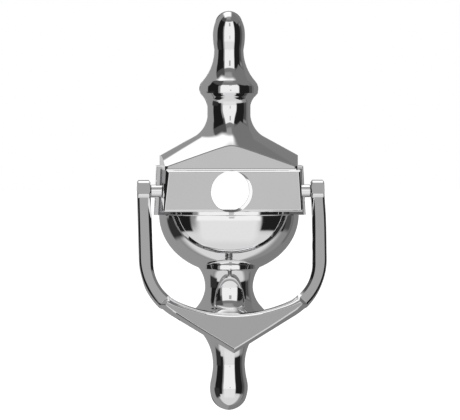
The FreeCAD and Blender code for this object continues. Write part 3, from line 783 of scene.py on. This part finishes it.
# A dark frame round the block's foot, painted shade where the block meets the wing.
finish_piece(make_shade_frame(), "plate", "chrome_casting", PAINTED_SHADE)
# The wing's front gets the darker chrome, which paints shade.
repaint(plate, SHADED_CHROME, is_wing_front)
knocker = finish_piece(make_bail(), "knocker", "chrome_bail", CHROME, "knocker_bail")

# The dark line along the hammer's lower left edge is painted shade.
repaint(knocker, PAINTED_SHADE, is_hammer_edge)

CARRIED = {
    "strike_button": ZINC,
    "fixing_stud_upper": ZINC,
    "fixing_stud_lower": ZINC,
    "pivot_pin_right": STEEL,
    "pivot_pin_left": STEEL,
    "pin_grub_screw_right": BLACK_OXIDE,
    "pin_grub_screw_left": BLACK_OXIDE,
    "pivot_bush_right": NYLON,
    "pivot_bush_left": NYLON,
    "back_gasket": FOAM,
}
for name, material in CARRIED.items():
    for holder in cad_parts[name].material_slots:
        holder.material = material

# ---------------------------------------------------------------- studio

# Soft cards all round, as (azimuth, half width, elevation, half height, soft edge, brightness).
# Azimuth 0 is in front of the knocker and grows to its right. Angles are in degrees.
# A later card lies over the earlier ones.
CARDS = [
    (-140, 50, 0, 90, 12, 0.31),
    (150, 45, 0, 90, 12, 0.22),
    (0, 180, 90, 30, 10, 0.34),
    (0, 76, -62, 40, 22, 0.74),
    (0, 37, -24, 19, 14, 0.84),
    (0, 37, 19, 28, 5, 0.97),
    (0, 42, 52, 5, 3, 0.2),
    (-68, 30, 46, 18, 8, 0.08),
    (76, 34, 50, 22, 10, 0.11),
    (92, 12, 0, 22, 8, 0.07),
    (110, 5, 0, 35, 6, 0.16),
    (-71, 25, 9, 35, 4, 0.012),
    (62, 23, 10, 34, 4, 0.014),
    (-84, 20, -20, 15, 8, 0.03),
    (-175, 8, 0, 9, 3, 1.0),
    (3.5, 2.9, -1.8, 2.8, 1, 0.56),
    (3.5, 6, 35, 7, 2, 0.4),
]

# Cards on the ceiling, as (middle, half size) to the right, the same to the back, soft edge and
# brightness, where 1 is as far off as the ceiling is high.
CEILING = [
    ((0.9, 0.7), (0.0, 0.6), 0.2, 0.19),
    ((-0.13, 0.38), (0.42, 0.64), 0.25, 1.2),
]
SURROUND = 0.27


def curve_share(tree, angle, middle, half, soft):
    """1 inside half the width of middle, falling to 0 over a soft edge."""
    away = node(tree, "ShaderNodeMath", operation="SUBTRACT")
    tree.links.new(angle, away.inputs[0])
    away.inputs[1].default_value = middle
    size = node(tree, "ShaderNodeMath", operation="ABSOLUTE")
    tree.links.new(away.outputs[0], size.inputs[0])
    made = node(tree, "ShaderNodeMapRange", interpolation_type="SMOOTHSTEP")
    made.inputs["From Min"].default_value = half + soft / 2
    made.inputs["From Max"].default_value = half - soft / 2
    tree.links.new(size.outputs[0], made.inputs["Value"])
    return made.outputs["Result"]


def math_node(tree, operation, *values):
    made = node(tree, "ShaderNodeMath", operation=operation)
    for socket, value in zip(made.inputs, values):
        if isinstance(value, (int, float)):
            socket.default_value = value
        else:
            tree.links.new(value, socket)
    return made.outputs[0]


def make_world():
    """A white room to look at, with the soft cards above for the metal to mirror."""
    world = bpy.data.worlds.new("studio")
    bpy.context.scene.world = world
    world.use_nodes = True
    tree = world.node_tree
    tree.nodes.clear()
    place = node(tree, "ShaderNodeTexCoord")
    split = node(tree, "ShaderNodeSeparateXYZ")
    tree.links.new(place.outputs["Generated"], split.inputs[0])
    x, y, z = split.outputs
    azimuth = math_node(tree, "DEGREES", math_node(tree, "ARCTAN2", x, math_node(tree, "MULTIPLY", y, -1)))
    elevation = math_node(tree, "DEGREES", math_node(tree, "ARCSINE", z))
    light = SURROUND
    for turn, wide, height, tall, soft, bright in CARDS:
        inside = math_node(
            tree,
            "MULTIPLY",
            curve_share(tree, azimuth, turn, wide, soft),
            curve_share(tree, elevation, height, tall, soft),
        )
        kept = math_node(tree, "MULTIPLY", math_node(tree, "SUBTRACT", 1, inside), light)
        light = math_node(tree, "MULTIPLY_ADD", inside, bright, kept)
    height = math_node(tree, "MAXIMUM", z, 0.01)
    right, back = math_node(tree, "DIVIDE", x, height), math_node(tree, "DIVIDE", y, height)
    for across, along, soft, bright in CEILING:
        inside = math_node(
            tree,
            "MULTIPLY",
            curve_share(tree, right, *across, soft),
            curve_share(tree, back, *along, soft),
        )
        kept = math_node(tree, "MULTIPLY", math_node(tree, "SUBTRACT", 1, inside), light)
        light = math_node(tree, "MULTIPLY_ADD", inside, bright, kept)
    seen = node(tree, "ShaderNodeLightPath")
    shown = node(tree, "ShaderNodeMix", data_type="FLOAT")
    tree.links.new(seen.outputs["Is Camera Ray"], shown.inputs["Factor"])
    tree.links.new(light, shown.inputs[2])
    shown.inputs[3].default_value = 1.0
    background = node(tree, "ShaderNodeBackground")
    tree.links.new(shown.outputs[0], background.inputs["Color"])
    result = node(tree, "ShaderNodeOutputWorld")
    tree.links.new(background.outputs[0], result.inputs["Surface"])


def make_floor():
    """A plain pale floor a little below the knocker."""
    half, height = 4000.0, -125.0
    corners = [(half, half), (-half, half), (-half, -half), (half, -half)]
    floor = solid("floor", [[(x, y, height + drop) for x, y in corners] for drop in (0, -5)])
    material, tree, shader = new_material("pale_floor")
    tone = mixed_colour(tree, noise(tree, 3.0), (0.6, 0.6, 0.6), (0.62, 0.62, 0.62))
    tree.links.new(tone, shader.inputs["Base Color"])
    shader.inputs["Roughness"].default_value = 0.9
    shader.inputs["Specular IOR Level"].default_value = 0.1
    shader.inputs["Emission Color"].default_value = (1, 1, 1, 1)
    shader.inputs["Emission Strength"].default_value = 0.9
    floor.data.materials.append(material)
    floor.visible_glossy = False


def make_camera():
    data = bpy.data.cameras.new("camera")
    data.lens = 192.5
    data.sensor_width = 36.0
    data.clip_start = 0.01
    camera = bpy.data.objects.new("camera", data)
    bpy.context.scene.collection.objects.link(camera)
    place, target = Vector((-73, -1200, 37)) * MM, Vector((0.6, 0, -9.7)) * MM
    camera.location = place
    camera.rotation_euler = (target - place).to_track_quat("-Z", "Y").to_euler()
    bpy.context.scene.camera = camera


make_world()
make_floor()
make_camera()
bpy.context.scene.view_settings.view_transform = "Standard"
